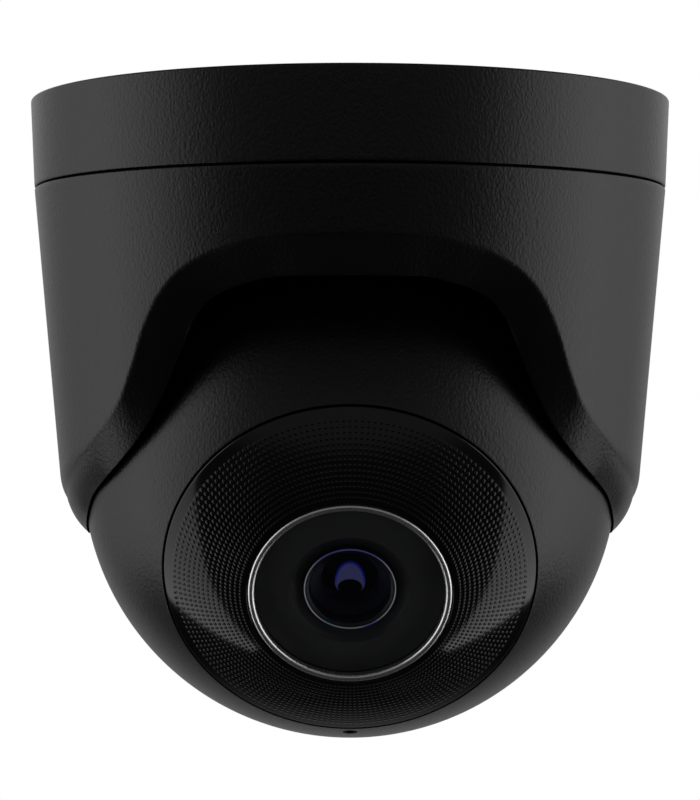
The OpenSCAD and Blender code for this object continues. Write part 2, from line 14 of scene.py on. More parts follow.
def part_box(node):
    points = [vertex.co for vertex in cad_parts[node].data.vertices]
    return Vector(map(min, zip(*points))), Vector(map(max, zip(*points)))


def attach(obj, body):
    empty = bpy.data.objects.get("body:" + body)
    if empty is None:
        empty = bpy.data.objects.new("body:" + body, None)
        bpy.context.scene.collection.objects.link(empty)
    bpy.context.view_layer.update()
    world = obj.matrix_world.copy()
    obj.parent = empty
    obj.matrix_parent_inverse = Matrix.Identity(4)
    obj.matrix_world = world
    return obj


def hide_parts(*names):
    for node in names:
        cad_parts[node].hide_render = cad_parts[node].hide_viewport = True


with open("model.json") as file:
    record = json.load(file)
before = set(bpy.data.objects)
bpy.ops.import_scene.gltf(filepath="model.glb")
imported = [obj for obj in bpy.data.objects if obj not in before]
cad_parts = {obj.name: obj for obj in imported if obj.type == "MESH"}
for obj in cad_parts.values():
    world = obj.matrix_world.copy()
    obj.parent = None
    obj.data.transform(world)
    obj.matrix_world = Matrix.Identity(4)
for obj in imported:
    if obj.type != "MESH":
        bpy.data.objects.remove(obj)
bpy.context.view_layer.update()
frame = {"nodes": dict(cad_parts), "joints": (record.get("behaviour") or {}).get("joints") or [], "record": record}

MM = 0.001
JOINTS = {j["name"]: j for j in frame["joints"]}


def size_of(node):
    """Lowest and highest corner of a CAD node, in millimetres."""
    low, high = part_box(node)
    return low / MM, high / MM


# Places and sizes that the CAD frame gives

BALL_CENTRE = Vector(JOINTS["tilt"]["pos_m"]) / MM
LENS_AXIS = Vector(JOINTS["roll"]["axis"]).normalized()
SIDE = Vector((1, 0, 0))
LENS_UP = LENS_AXIS.cross(SIDE)
BALL_R = size_of("front_shell")[1].x
BASE_R = size_of("base_ring")[1].x
BASE_BOTTOM = size_of("base_ring")[0].z
SEAM_R = size_of("housing_shell")[1].x
SPIGOT_TOP = size_of("housing_shell")[1].z
WINDOW_R = size_of("ir_window")[1].x
BEZEL_R = size_of("lens_bezel")[1].x
COVER_R = size_of("lens_cover")[1].x
BARREL_R = size_of("lens_barrel")[1].x
LENS_FRAME = Matrix(
    (
        (SIDE.x, LENS_UP.x, LENS_AXIS.x, BALL_CENTRE.x * MM),
        (SIDE.y, LENS_UP.y, LENS_AXIS.y, BALL_CENTRE.y * MM),
        (SIDE.z, LENS_UP.z, LENS_AXIS.z, BALL_CENTRE.z * MM),
        (0, 0, 0, 1),
    )
)


def height_on_axis(node):
    """Lowest and highest point of a ball node along the lens axis, in millimetres from the centre."""
    inverse = LENS_FRAME.inverted()
    heights = [(inverse @ v.co).z / MM for v in frame["nodes"][node].data.vertices]
    return min(heights), max(heights)


# Mesh tools


def rounded(outline, closed=True, steps=5):
    """The outline [(r, h) or (r, h, fillet)] with its marked corners rounded off."""
    made = []
    count = len(outline)
    for i, corner in enumerate(outline):
        here = Vector(corner[:2])
        if len(corner) < 3 or (not closed and i in (0, count - 1)):
            made.append(tuple(here))
            continue
        back = Vector(outline[i - 1][:2]) - here
        on = Vector(outline[(i + 1) % count][:2]) - here
        half = back.angle(on) / 2
        reach = min(corner[2] / math.tan(half), back.length * 0.49, on.length * 0.49)
        back.normalize()
        on.normalize()
        centre = here + (back + on).normalized() * (reach / math.cos(half))
        first, last = here + back * reach - centre, here + on * reach - centre
        turn = first.angle(last)
        for k in range(steps + 1):
            t = k / steps
            spoke = (first * math.sin((1 - t) * turn) + last * math.sin(t * turn)) / math.sin(turn)
            made.append(tuple(centre + spoke))
    return made


def arc(radius, start, end, steps):
    """Points (r, h) of a meridian of a sphere, by angle from the axis in degrees."""
    angles = [math.radians(start + (end - start) * i / steps) for i in range(steps + 1)]
    return [(radius * math.sin(a), radius * math.cos(a)) for a in angles]


LIP_STEPS = 4


class Skin:
    """Vertices and faces gathered for one mesh. inside lists its faces in holes, which are darker."""

    def __init__(self):
        self.verts = []
        self.faces = []
        self.inside = []

    def add(self, points):
        first = len(self.verts)
        self.verts += [tuple(p) for p in points]
        return list(range(first, len(self.verts)))

    def face(self, corners):
        corners = list(dict.fromkeys(corners))
        if len(corners) > 2:
            self.faces.append(corners)

    def bridge(self, a, b):
        for i in range(len(a)):
            k = (i + 1) % len(a)
            self.face([a[i], a[k], b[k], b[i]])

    def rows(self, outline, columns):
        """One row of vertices per point of the outline, turned about the axis."""
        made = []
        for r, h in outline:
            if r < 1e-6:
                made.append(self.add([(0, 0, h)]) * columns)
                continue
            turns = [2 * math.pi * i / columns for i in range(columns)]
            made.append(self.add([(r * math.cos(a), r * math.sin(a), h) for a in turns]))
        return made

    def grid(self, rows, closed=False, skip=()):
        columns = len(rows[0])
        for j in range(len(rows) if closed else len(rows) - 1):
            a, b = rows[j], rows[(j + 1) % len(rows)]
            for i in range(columns):
                if (j, i) not in skip:
                    k = (i + 1) % columns
                    self.face([a[i], a[k], b[k], b[i]])

    def lathe(self, outline, columns, closed=True):
        self.grid(self.rows(outline, columns), closed)

    def hole(self, rows, window, origin, axis, radius, lift, lip, floor_at):
        """Fills the window of missing cells with rings that close on a round hole with a wall and a floor.

        lift gives the point of the surface over a spot of the plane across the hole's axis, and
        floor_at is how far along the axis the floor lies from the origin.
        """
        j0, j1, i0, i1 = window
        columns = len(rows[0])
        loop = [(j0, i) for i in range(i0, i1)] + [(j, i1) for j in range(j0, j1)]
        loop += [(j1, i) for i in range(i1, i0, -1)] + [(j, i0) for j in range(j1, j0, -1)]
        edge = [rows[j][i % columns] for j, i in loop]
        across = axis.orthogonal().normalized()
        along = axis.cross(across)
        spots = []
        for v in edge:
            offset = Vector(self.verts[v]) - origin
            spots.append(Vector((offset.dot(across), offset.dot(along))))

        def ring(place):
            return self.add([place(s) for s in spots])

        def over(spot):
            return lift(origin + across * spot.x + along * spot.y)

        last = edge
        for t in (0.3, 0.6, 0.85, 1):
            row = ring(lambda s: over(s.lerp(s.normalized() * (radius + lip), t)))
            self.bridge(last, row)
            last = row
        for k in range(1, LIP_STEPS + 1):
            a = math.radians(90 * k / LIP_STEPS)
            r, sink = radius + lip * (1 - math.sin(a)), lip * (1 - math.cos(a))
            row = ring(lambda s: over(s.normalized() * r) - axis * sink)
            self.bridge(last, row)
            last = row
        floor = origin + axis * floor_at
        start = len(self.faces)
        for r in (radius, radius * 0.5):
            row = ring(lambda s: floor + (across * s.x + along * s.y).normalized() * r)
            self.bridge(last, row)
            last = row
        self.bridge(last, self.add([floor]) * len(last))
        self.inside.append(range(start, len(self.faces)))

    def box(self, low, high, turn=0.0):
        """A box whose x runs outwards from the axis, turned about it."""
        c, s = math.cos(turn), math.sin(turn)
        spots = [(x, y, z) for z in (low[2], high[2]) for y in (low[1], high[1]) for x in (low[0], high[0])]
        v = self.add([(x * c - y * s, x * s + y * c, z) for x, y, z in spots])
        for f in ((0, 1, 3, 2), (4, 6, 7, 5), (0, 4, 5, 1), (1, 5, 7, 3), (3, 7, 6, 2), (2, 6, 4, 0)):
            self.face([v[i] for i in f])


def piece(name, skin, material, body, stands_for=(), place=None, turn=None, sharp=38):
    """Makes the object, rides it on its body, and hides the CAD nodes that it stands for."""
    mesh = bpy.data.meshes.new(name)
    mesh.from_pydata([(x * MM, y * MM, z * MM) for x, y, z in skin.verts], [], skin.faces)
    bm = bmesh.new()
    bm.from_mesh(mesh)
    bmesh.ops.delete(bm, geom=[v for v in bm.verts if not v.link_faces], context="VERTS")
    bmesh.ops.recalc_face_normals(bm, faces=bm.faces)
    bm.to_mesh(mesh)
    bm.free()
    if turn is not None:
        mesh.transform(turn)
    mesh.shade_smooth()
    mesh.set_sharp_from_angle(angle=math.radians(sharp))
    mesh.materials.append(material)
    if skin.inside:
        mesh.materials.append(inner_black)
        for faces in skin.inside:
            for i in faces:
                mesh.polygons[i].material_index = 1
    made = bpy.data.objects.new(name, mesh)
    bpy.context.scene.collection.objects.link(made)
    if place is not None:
        made.matrix_world = place
    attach(made, body)
    if stands_for:
        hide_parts(*stands_for)


def cells_of(windows):
    """Every cell (row, column) of windows given as (first row, last row, first column, last column)."""
    return {(j, i) for j0, j1, i0, i1 in windows for j in range(j0, j1) for i in range(i0, i1)}


# Materials


class Nodes:
    """A short way to write a node tree."""

    def __init__(self, tree):
        self.tree = tree
        tree.nodes.clear()

    def new(self, kind, settings=None, **inputs):
        """Adds a node. An input's name has _ for a space."""
        node = self.tree.nodes.new(kind)
        for key, value in (settings or {}).items():
            setattr(node, key, value)
        for key, value in inputs.items():
            self.set(node, key.replace("_", " "), value)
        return node

    def set(self, node, socket, value):
        """Sets or links an input, found by its name or its number."""
        target = node.inputs[int(socket)] if socket.strip().isdigit() else node.inputs[socket]
        if isinstance(value, bpy.types.NodeSocket):
            self.tree.links.new(value, target)
        else:
            target.default_value = value

    def maths(self, operation, a, b=0.0, c=0.0):
        node = self.new("ShaderNodeMath", {"operation": operation})
        for i, value in enumerate((a, b, c)):
            self.set(node, str(i), value)
        return node.outputs[0]

    def spread(self, value, low, high, to_low, to_high, smooth=False):
        """Maps low to high onto to_low to to_high, and holds the end values beyond them."""
        kind = {"interpolation_type": "SMOOTHSTEP"} if smooth else None
        node = self.new("ShaderNodeMapRange", kind, Value=value)
        for key, number in (("From Min", low), ("From Max", high), ("To Min", to_low), ("To Max", to_high)):
            self.set(node, key, number)
        return node.outputs[0]

    def millimetres(self, stretch=(1, 1, 1)):
        """The object's own coordinates, in millimetres."""
        where = self.new("ShaderNodeTexCoord").outputs["Object"]
        node = self.new("ShaderNodeMapping", Vector=where)
        node.inputs["Scale"].default_value = [s / MM for s in stretch]
        return node.outputs["Vector"]

    def noise(self, where, scale):
        """Soft noise of a size, in features per unit of where."""
        return self.new("ShaderNodeTexNoise", Vector=where, Scale=scale, Detail=3.0).outputs["Fac"]

    def blend(self, factor, first, second):
        """A mix of two colours. Sockets 6 and 7, and output 2, are the node's colour ones."""
        node = self.new("ShaderNodeMix", {"data_type": "RGBA"})
        self.tree.links.new(factor, node.inputs[0])
        for index, colour in ((6, first), (7, second)):
            if isinstance(colour, bpy.types.NodeSocket):
                self.tree.links.new(colour, node.inputs[index])
            else:
                node.inputs[index].default_value = (*colour, 1)
        return node.outputs[2]

    def parts(self, vector):
        """The x, y and z of a vector."""
        return self.new("ShaderNodeSeparateXYZ", Vector=vector).outputs[:3]

    def end(self, shader, kind="ShaderNodeOutputMaterial"):
        """Joins the shader to the tree's output."""
        self.set(self.new(kind), "Surface", shader.outputs[0])


def blank(name):
    """A new material, and the writer of its nodes."""
    made = bpy.data.materials.new(name)
    made.use_nodes = True
    return made, Nodes(made.node_tree)


def surface(
    name, colour, roughness, grain=2.0, height=0.004, stretch=(1, 1, 1),
    *, metallic=0.0, vary=0.12, rough_vary=0.05,
):
    """A finish with a slight change of tone, uneven gloss and a fine relief.

    grain is features per millimetre, and height is in millimetres.
    """
    made, n = blank(name)
    where = n.millimetres(stretch)
    tone = n.noise(n.millimetres(), 0.15)
    relief = n.noise(where, grain)
    dark = tuple(c * (1 - vary) for c in colour)
    light = tuple(min(1.0, c * (1 + vary)) for c in colour)
    shade = n.new("ShaderNodeBsdfPrincipled", Metallic=metallic, IOR=1.5)
    n.set(shade, "Base Color", n.blend(n.spread(tone, 0.3, 0.7, 0, 1), dark, light))
    n.set(shade, "Roughness", n.spread(relief, 0.25, 0.75, roughness - rough_vary, roughness + rough_vary))
    bump = n.new("ShaderNodeBump", Height=relief, Distance=height * MM, Strength=1.0)
    n.set(shade, "Normal", bump.outputs[0])
    n.end(shade)
    return made


def clear_glass(name, tint, roughness, straight=0.04):
    """Thin glass, which mirrors a share of the light that grows from straight on towards the edge."""
    made, n = blank(name)
    smear = n.noise(n.millimetres(), 0.6)
    facing = n.new("ShaderNodeLayerWeight", Blend=0.5).outputs["Facing"]
    share = n.maths("MULTIPLY_ADD", n.maths("POWER", facing, 5), 1 - straight, straight)
    behind = n.new("ShaderNodeBsdfTransparent", Color=(*tint, 1))
    mirror = n.new("ShaderNodeBsdfGlossy", Color=(1, 1, 1, 1))
    n.set(mirror, "Roughness", n.spread(smear, 0.3, 0.7, roughness, roughness + 0.03))
    mix = n.new("ShaderNodeMixShader", Fac=share)
    n.set(mix, "1", behind.outputs[0])
    n.set(mix, "2", mirror.outputs[0])
    n.end(mix)
    return made


def coated_element(name):
    """The lens group down the barrel: a violet spot with the dark pupil in it, painted as a reflection.

    A faint glow paints what the coatings reflect, dimmer towards the bottom as painted shade.
    """
    made, n = blank(name)
    x, y, _ = n.parts(n.millimetres())

    def reach(half_width, above, below, drop):
        across = n.maths("POWER", n.maths("DIVIDE", x, half_width), 2)
        rise = n.maths("ADD", y, drop)
        up = n.maths("MAXIMUM", n.maths("DIVIDE", rise, above), n.maths("DIVIDE", rise, -below))
        return n.maths("SQRT", n.maths("ADD", across, n.maths("POWER", up, 2)))

    # Painted reflection: the glowing spot's outline, with its blue rim and the dark pupil cut out of the glow
    reflection_blob = reach(2.54, 4.05, 2.75, 2.42)
    spot = n.spread(reflection_blob, 0.94, 1.0, 1, 0, True)
    rim = n.spread(reflection_blob, 0.8, 0.92, 0, 1, True)
    pupil = n.spread(reach(2.05, 1.63, 1.63, 3.45), 0.94, 1.0, 0, 1, True)
    blue_share = n.maths("MULTIPLY", rim, n.spread(y, -4.0, -1.0, 0, 1))
    violet = n.blend(blue_share, (0.03, 0.03, 0.066), (0.001, 0.005, 0.09))
    # Painted shade: the glow fades towards the bottom of the spot
    painted_glow = n.maths("MULTIPLY", n.maths("MULTIPLY", spot, pupil), n.spread(y, -4.6, -3.4, 0.15, 1))
    shade = n.new("ShaderNodeBsdfPrincipled", Roughness=0.1)
    shade.inputs["Base Color"].default_value = (0.003, 0.003, 0.006, 1)
    n.set(shade, "Emission Color", violet)
    n.set(shade, "Emission Strength", painted_glow)
    n.end(shade)
    return made


def iridescent_rim(name):
    """The thin rim of the lens barrel, its colour a painted reflection: lavender, violet at the top, blue and cyan
    low down.

    A faint glow adds to this painted reflection, in place of what its coating reflects.
    """
    made, n = blank(name)
    x, y, _ = n.parts(n.millimetres())
    # Painted reflection: the rim's colours are set by place on the ring
    top = n.spread(y, 3.5, 6.8, 0, 1, True)
    low_left = n.maths("MULTIPLY", n.spread(y, -6.6, -5.4, 1, 0, True), n.spread(x, -4.5, -1.5, 1, 0, True))
    low_right = n.maths("MULTIPLY", n.spread(y, -6.9, -5.0, 1, 0, True), n.spread(x, 1.0, 3.5, 0, 1, True))
    colour = n.blend(top, (0.85, 0.8, 0.95), (0.3, 0.26, 1.0))
    colour = n.blend(low_left, colour, (0.08, 0.7, 1.0))
    colour = n.blend(low_right, colour, (0.2, 0.2, 1.0))
    shade = n.new("ShaderNodeBsdfPrincipled", Metallic=1.0, Roughness=0.32)
    n.set(shade, "Base Color", colour)
    n.set(shade, "Emission Color", colour)
    shade.inputs["Emission Strength"].default_value = 0.08
    n.end(shade)
    return made


BLACK = (0.0042, 0.0042, 0.0045)
shell_black = surface("shell_black", BLACK, 0.32, 2.2, 0.075, (1, 1, 0.7), vary=0.1, rough_vary=0.03)
WINDOW_TONE = (0.0035, 0.0028, 0.0034)
window_black = surface("window_black", WINDOW_TONE, 0.09, 1.0, 0.0003, vary=0.1, rough_vary=0.015)
bezel_silver = surface("bezel_silver", (0.97, 0.97, 0.98), 0.3, 3.0, 0.001, metallic=1.0, vary=0.03)
mask_black = surface("mask_black", (0.042, 0.042, 0.042), 0.6, 1.0, 0.0005)
inner_black = surface("inner_black", (0.009, 0.009, 0.009), 0.55, 2.0, 0.004)
barrel_black = surface("lens_black_metal", (0.006, 0.006, 0.007), 0.42, 3.0, 0.002)
cover_glass = clear_glass("cover_glass", (0.93, 0.94, 0.95), 0.02, 0.02)
front_glass = clear_glass("lens_glass", (0.85, 0.87, 0.98), 0.01, 0.004)
SLOT_MATERIALS = {
    "shell_black": shell_black,
    "window_black": window_black,
    "bezel_silver": bezel_silver,
    "inner_black": inner_black,
    "lens_black_metal": barrel_black,
    "cover_glass": cover_glass,
    "lens_glass": front_glass,
    "plate_steel": surface(
        "plate_steel", (0.55, 0.56, 0.58), 0.32, 0.9, 0.003, (1, 0.08, 1), metallic=1.0, vary=0.08
    ),
    "black_rubber": surface("black_rubber", (0.012, 0.012, 0.012), 0.75, 3.0, 0.01),
    "black_screw": surface("black_screw", (0.035, 0.035, 0.04), 0.38, 4.0, 0.003, metallic=1.0),
    "plain_screw": surface("plain_screw", (0.55, 0.55, 0.57), 0.3, 4.0, 0.002, metallic=1.0),
    "friction_grey": surface("friction_grey", (0.05, 0.05, 0.055), 0.6, 2.5, 0.008),
    "glide_white": surface("glide_white", (0.7, 0.7, 0.66), 0.4, 1.5, 0.004, vary=0.04),
    "filter_glass": clear_glass("filter_glass", (0.45, 0.75, 0.72), 0.02),
    "circuit_board": surface("circuit_board", (0.012, 0.075, 0.03), 0.35, 0.8, 0.01, vary=0.35),
    "led_resin": surface("led_resin", (0.6, 0.55, 0.38), 0.15, 1.0, 0.001),
    "chassis_aluminium": surface("chassis_aluminium", (0.58, 0.59, 0.61), 0.42, 2.5, 0.006, metallic=1.0),
    "sensor_face": surface("sensor_face", (0.06, 0.09, 0.13), 0.1, 1.5, 0.0005),
    "shield_steel": surface("shield_steel", (0.6, 0.6, 0.62), 0.28, 2.0, 0.002, metallic=1.0),
    "standoff_brass": surface("standoff_brass", (0.62, 0.47, 0.2), 0.28, 3.0, 0.002, metallic=1.0),
    "thermal_grey": surface("thermal_grey", (0.25, 0.3, 0.42), 0.8, 2.0, 0.02),
    "chip_black": surface("chip_black", (0.02, 0.02, 0.02), 0.5, 5.0, 0.004),
    "can_aluminium": surface("can_aluminium", (0.5, 0.5, 0.55), 0.25, 2.0, 0.002, metallic=1.0),
    "connector_cream": surface("connector_cream", (0.62, 0.58, 0.46), 0.45, 2.0, 0.003),
    "ribbon_amber": surface("ribbon_amber", (0.42, 0.17, 0.03), 0.3, 0.7, 0.004, vary=0.25),
}
for part in frame["record"]["subparts"]:
    data = frame["nodes"][part["node"]].data
    data.materials.clear()
    data.materials.append(SLOT_MATERIALS[part["material_slot"]])

baffle_black = surface("baffle_black", (0.03, 0.03, 0.032), 0.5, 2.0, 0.004)
frame["nodes"]["lens_baffle"].data.materials[0] = baffle_black

# Housing: a turned wall whose lower edge rises to an arch at the front

# How deep the wall's outer and inner lower edges lie under the ceiling, by angle from the front in degrees
OUTER_EDGE = [
    (0, 25.9), (12, 26.3), (22, 27.9), (29, 30.5), (34, 34), (38, 38.8), (42, 45.6),
    (46, 51), (52, 55.3), (62, 59.7), (75, 63.7), (90, 67), (105, 67.6), (180, 67.6),
]
INNER_EDGE = [
    (0, 32.1), (13, 32.2), (21, 33.4), (27, 35.4), (31, 38.6), (34, 43.2), (38, 49.4), (43, 55.3),
    (49, 59.7), (57, 63.8), (67, 67.4), (77, 71.6), (88, 74.4), (100, 74.9), (180, 74.9),
]
LIP_R, LIP_DEPTH = 49.7, OUTER_EDGE[-1][1]
CAVITY_R = 47.2
SPIGOT_R = 50.6
SEAT_R = BALL_R + 0.35
HOUSING_TOP = -BASE_BOTTOM + 0.3
BORE_TOP = -SPIGOT_TOP + 0.6
BALL_DEPTH = -BALL_CENTRE.z
CONE_START, SEAT_START, CONE_SLOPE = 0.6, 5.48, 0.1988
LIP_START, LIP_FULL = 52, 80
WALL_SPANS, FACE_SPANS, BORE_SPANS = 26, 8, 22


def curve_at(knots, x):
    """Depth and slope of the edge at an angle from the front, on the smooth curve through the knots."""
    def rise(i):
        return (knots[i + 1][1] - knots[i][1]) / (knots[i + 1][0] - knots[i][0])

    def slope(i):
        if i in (0, len(knots) - 1) or rise(i - 1) * rise(i) <= 0:
            return 0.0
        return 2 * rise(i - 1) * rise(i) / (rise(i - 1) + rise(i))

    x = abs(x)
    i = max(k for k in range(len(knots) - 1) if knots[k][0] <= x or k == 0)
    h = knots[i + 1][0] - knots[i][0]
    t = (x - knots[i][0]) / h
    a, b, ma, mb = knots[i][1], knots[i + 1][1], slope(i) * h, slope(i + 1) * h
    depth = (2 * t**3 - 3 * t**2 + 1) * a + (t**3 - 2 * t**2 + t) * ma
    depth += (3 * t**2 - 2 * t**3) * b + (t**3 - t**2) * mb
    pitch = ((6 * t**2 - 6 * t) * (a - b) + (3 * t**2 - 4 * t + 1) * ma + (3 * t**2 - 2 * t) * mb) / h
    return depth, pitch


def wall_r(depth):
    """Radius of the outer wall."""
    return SEAM_R + (depth - HOUSING_TOP) * (LIP_R - SEAM_R) / (LIP_DEPTH - HOUSING_TOP)


def cavity_at(depth):
    """Radius of the inner wall: a plain bore, a short cone, then the seat round the ball."""
    below = depth - BALL_DEPTH
    if below <= CONE_START:
        return CAVITY_R
    if below <= SEAT_START:
        return CAVITY_R - (below - CONE_START) * CONE_SLOPE
    return math.sqrt(SEAT_R**2 - below**2)


def soft_corner(before, corner, after, reach_back, reach_on, steps):
    """A corner of the section, rounded by a curve that leaves and meets its sides evenly."""
    corner = Vector(corner)
    back, on = Vector(before) - corner, Vector(after) - corner
    start = corner + back.normalized() * min(reach_back, back.length * 0.45)
    end = corner + on.normalized() * min(reach_on, on.length * 0.45)
    made = []
    for k in range(steps + 1):
        t = k / steps
        made.append(start * (1 - t) ** 2 + corner * 2 * t * (1 - t) + end * t**2)
    return made


def housing_section(angle):
    """The closed section of the wall at an angle from the front, as (r, depth)."""
    outer, outer_pitch = curve_at(OUTER_EDGE, angle)
    inner, inner_pitch = curve_at(INNER_EDGE, angle)
    out_r, in_r = wall_r(outer), cavity_at(inner)
    stretch_out = math.hypot(1, outer_pitch * 180 / math.pi / out_r)
    stretch_in = math.hypot(1, inner_pitch * 180 / math.pi / in_r)
    p_out, p_in = Vector((out_r, outer)), Vector((in_r, inner))
    wall_top = Vector((SEAM_R, HOUSING_TOP))
    span = p_in - p_out
    bulge = Vector((-span.y, span.x)).normalized()
    if bulge.x < 0:
        bulge = -bulge
    lip_share = max(0.0, min(1.0, (abs(angle) - LIP_START) / (LIP_FULL - LIP_START)))
    bow, corner_reach = 0.5 * lip_share, 0.45 + 1.3 * lip_share
    section = rounded(
        [
            (CAVITY_R, BORE_TOP), (CAVITY_R, -SPIGOT_TOP, 0.3), (SPIGOT_R, -SPIGOT_TOP, 0.4),
            (SPIGOT_R, HOUSING_TOP), tuple(wall_top) + (0.25,), (wall_r(HOUSING_TOP + 1), HOUSING_TOP + 1),
        ],
        False,
        4,
    )
    section = [Vector(p) for p in section]
    corner = soft_corner(wall_top, p_out, p_in, corner_reach * stretch_out, corner_reach * stretch_out, 8)
    first = section[-1]
    section += [first.lerp(corner[0], k / WALL_SPANS) for k in range(1, WALL_SPANS)]
    section += corner
    inside = Vector((cavity_at(inner - 1.5), inner - 1.5))
    edge = soft_corner(p_out, p_in, inside, 0.5 * stretch_in, 0.45 * stretch_in, 6)
    a, b = corner[-1], edge[0]
    for t in [k / FACE_SPANS for k in range(1, FACE_SPANS)]:
        section.append(a.lerp(b, t) + bulge * bow * 4 * t * (1 - t))
    section += edge
    bottom = edge[-1].y
    depths = [bottom + (BORE_TOP - bottom) * k / BORE_SPANS for k in range(1, BORE_SPANS)]
    section += [Vector((cavity_at(d), d)) for d in depths]
    return section


def housing_angles():
    """Columns of the housing, closest where the arch is steepest."""
    half = []
    for start, end, step in ((0, 20, 0.5), (20, 60, 0.25), (60, 110, 0.5), (110, 180, 1.0)):
        half += [start + step * i for i in range(round((end - start) / step))]
    return half + [180] + [-a for a in half[:0:-1]]


skin = Skin()
columns = [housing_section(a) for a in housing_angles()]
turns = [math.radians(a) for a in housing_angles()]
housing_rows = [
    skin.add([(c[j].x * math.sin(t), -c[j].x * math.cos(t), -c[j].y) for c, t in zip(columns, turns)])
    for j in range(len(columns[0]))
]
skin.grid(housing_rows, closed=True)
piece("housing_wall", skin, shell_black, "housing", ["housing_shell"])

# Base ring, with its lugs and the hole of the locking screw

lock_low, lock_high = size_of("lock_screw")
lock_centre = Vector((0, 0, (lock_low.z + lock_high.z) / 2))
lock_r = (lock_high.x - lock_low.x) / 2 + 0.05
LEDGE_H, LEDGE_R = BASE_BOTTOM + 2.2, 51
BASE_INNER_R = 52.4
WALL_STEPS = 12
WALL_HEAD, WALL_FOOT = (BASE_R, -0.7), (SEAM_R + 0.03, BASE_BOTTOM + 0.7)


def on_wall(share):
    """The point (r, h) a share of the way down the base's slanted wall."""
    return tuple(a + (b - a) * share for a, b in zip(WALL_HEAD, WALL_FOOT))


def on_base(spot):
    """The lift of the locking screw's hole: the point of the wall at the spot's x and z."""
    r = on_wall((spot.z - WALL_HEAD[1]) / (WALL_FOOT[1] - WALL_HEAD[1]))[0]
    return Vector((spot.x, math.sqrt(r * r - spot.x * spot.x), spot.z))


skin = Skin()
wall = [on_wall(k / WALL_STEPS) for k in range(WALL_STEPS + 1)]
crown = rounded([(BASE_INNER_R, -1), (BASE_INNER_R, 0, 0.25), (BASE_R, 0, 0.55), WALL_HEAD], False, 6)
foot = rounded(
    [
        WALL_FOOT, (SEAM_R, BASE_BOTTOM, 0.25), (LEDGE_R, BASE_BOTTOM, 0.3), (LEDGE_R, LEDGE_H, 0.2),
        (BASE_INNER_R, LEDGE_H), (BASE_INNER_R, -1),
    ],
    False,
    6,
)
outline = crown[:-1] + wall + foot[1:-1]
BASE_COLUMNS = 480
base_rows = skin.rows(outline, BASE_COLUMNS)
middle = BASE_COLUMNS // 4
first_row = len(crown) - 1
wall_rows = range(first_row, first_row + WALL_STEPS + 1)
near = [j for j in wall_rows if abs(outline[j][1] - lock_centre.z) < lock_r + 1.4]
window = (near[0], near[-1], middle - 5, middle + 5)
skin.grid(base_rows, closed=True, skip=cells_of([window]))
skin.hole(base_rows, window, lock_centre, Vector((0, 1, 0)), lock_r, on_base, 0.2, BASE_INNER_R - 0.2)
for turn in (90, 210, 330):
    skin.box((49, -6, -6.2), (BASE_INNER_R + 0.9, 6, -4.2), math.radians(turn))
piece("base_wall", skin, shell_black, "base", ["base_ring"])

# Ball: the front shell round the window, and the rear shell

OPENING_R = WINDOW_R + 0.2
SHELL_IN_R = BALL_R - 2.6
WINDOW_SEAT = 32.4
SEAT_LEDGE_R, SEAT_LEDGE_H = WINDOW_R - 3.5, WINDOW_SEAT - 2
SEAM_H = -10
MIC_ANGLE, MIC_R, MIC_LIP, MIC_FLOOR = 44, 1.25, 0.12, BALL_R - 3.2
BALL_COLUMNS = 540


def polar(radius, height):
    """Angle from the lens axis, in degrees, at a height along it."""
    return math.degrees(math.acos(height / radius))


opening_angle = math.degrees(math.asin(OPENING_R / BALL_R))
opening_top = BALL_R * math.cos(math.radians(opening_angle))
seam_angle, seam_angle_in = polar(BALL_R, SEAM_H), polar(SHELL_IN_R, SEAM_H)
skin = Skin()
FRONT_STEPS = 74
zone_start, zone_end = opening_angle + 0.6, seam_angle - 0.35
zone = arc(BALL_R, zone_start, zone_end, FRONT_STEPS)
seam_r = BALL_R * math.sin(math.radians(seam_angle))
rim = rounded([(OPENING_R, WINDOW_SEAT), (OPENING_R, opening_top, 0.28), zone[0]], False, 5)
rest = [(seam_r - 0.06, SEAM_H + 0.16), (seam_r - 0.3, SEAM_H)]
inside = arc(SHELL_IN_R, seam_angle_in, polar(SHELL_IN_R, SEAT_LEDGE_H), 30)
ledge = [(SEAT_LEDGE_R, SEAT_LEDGE_H), (SEAT_LEDGE_R, WINDOW_SEAT)]
outline = rim[:-1] + zone + rest + inside + ledge
front_rows = skin.rows(outline, BALL_COLUMNS)
mic_axis = Vector((0, -math.sin(math.radians(MIC_ANGLE)), math.cos(math.radians(MIC_ANGLE))))
offset = len(rim) - 1
step = (zone_end - zone_start) / FRONT_STEPS
near = [offset + k for k in range(FRONT_STEPS + 1) if abs(zone_start + step * k - MIC_ANGLE) < 2.45]
middle = BALL_COLUMNS * 3 // 4
window = (near[0], near[-1], middle - 5, middle + 5)
skin.grid(front_rows, closed=True, skip=cells_of([window]))


def on_ball(axis):
    """The lift of a hole in the ball, along the hole's axis."""
    def lift(spot):
        flat = spot - axis * spot.dot(axis)
        return flat + axis * math.sqrt(BALL_R**2 - flat.length_squared)

    return lift


skin.hole(front_rows, window, Vector((0, 0, 0)), mic_axis, MIC_R, on_ball(mic_axis), MIC_LIP, MIC_FLOOR)
piece("ball_front", skin, shell_black, "ball", ["front_shell"], turn=LENS_FRAME)

